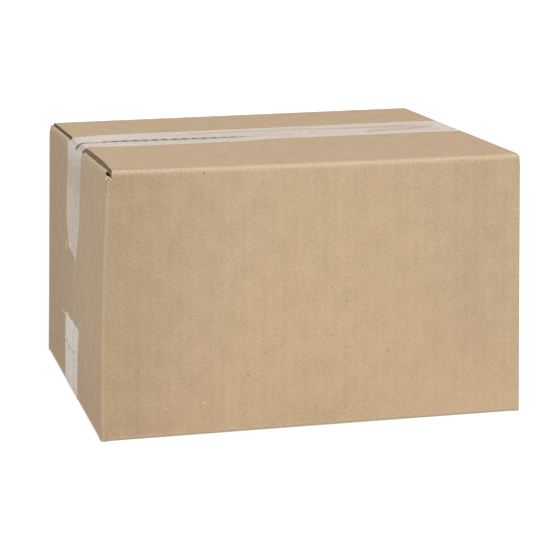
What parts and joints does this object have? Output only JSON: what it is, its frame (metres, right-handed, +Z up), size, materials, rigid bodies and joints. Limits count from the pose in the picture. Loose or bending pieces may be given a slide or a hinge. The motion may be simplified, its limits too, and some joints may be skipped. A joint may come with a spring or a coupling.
{
  "type": "closed cardboard box",
  "caption": "Closed corrugated cardboard shipping box: slotted flaps folded shut over the top and bottom and sealed with wide clear tape.",
  "frame": {"origin": "middle of the underside, on the surface the box stands on", "axes": "+X along the length, front panel faces -Y, +Z up"},
  "size_m": [0.3202, 0.28, 0.1977],
  "materials": {
    "kraft_board": "matt brown kraft liner over corrugated board",
    "clear_tape": "milky clear film, glossy with fine lengthwise wrinkles"
  },
  "bodies": {
    "root": {"carton": "kraft_board", "top_tape": "clear_tape", "bottom_tape": "clear_tape"}
  },
  "joints": []
}
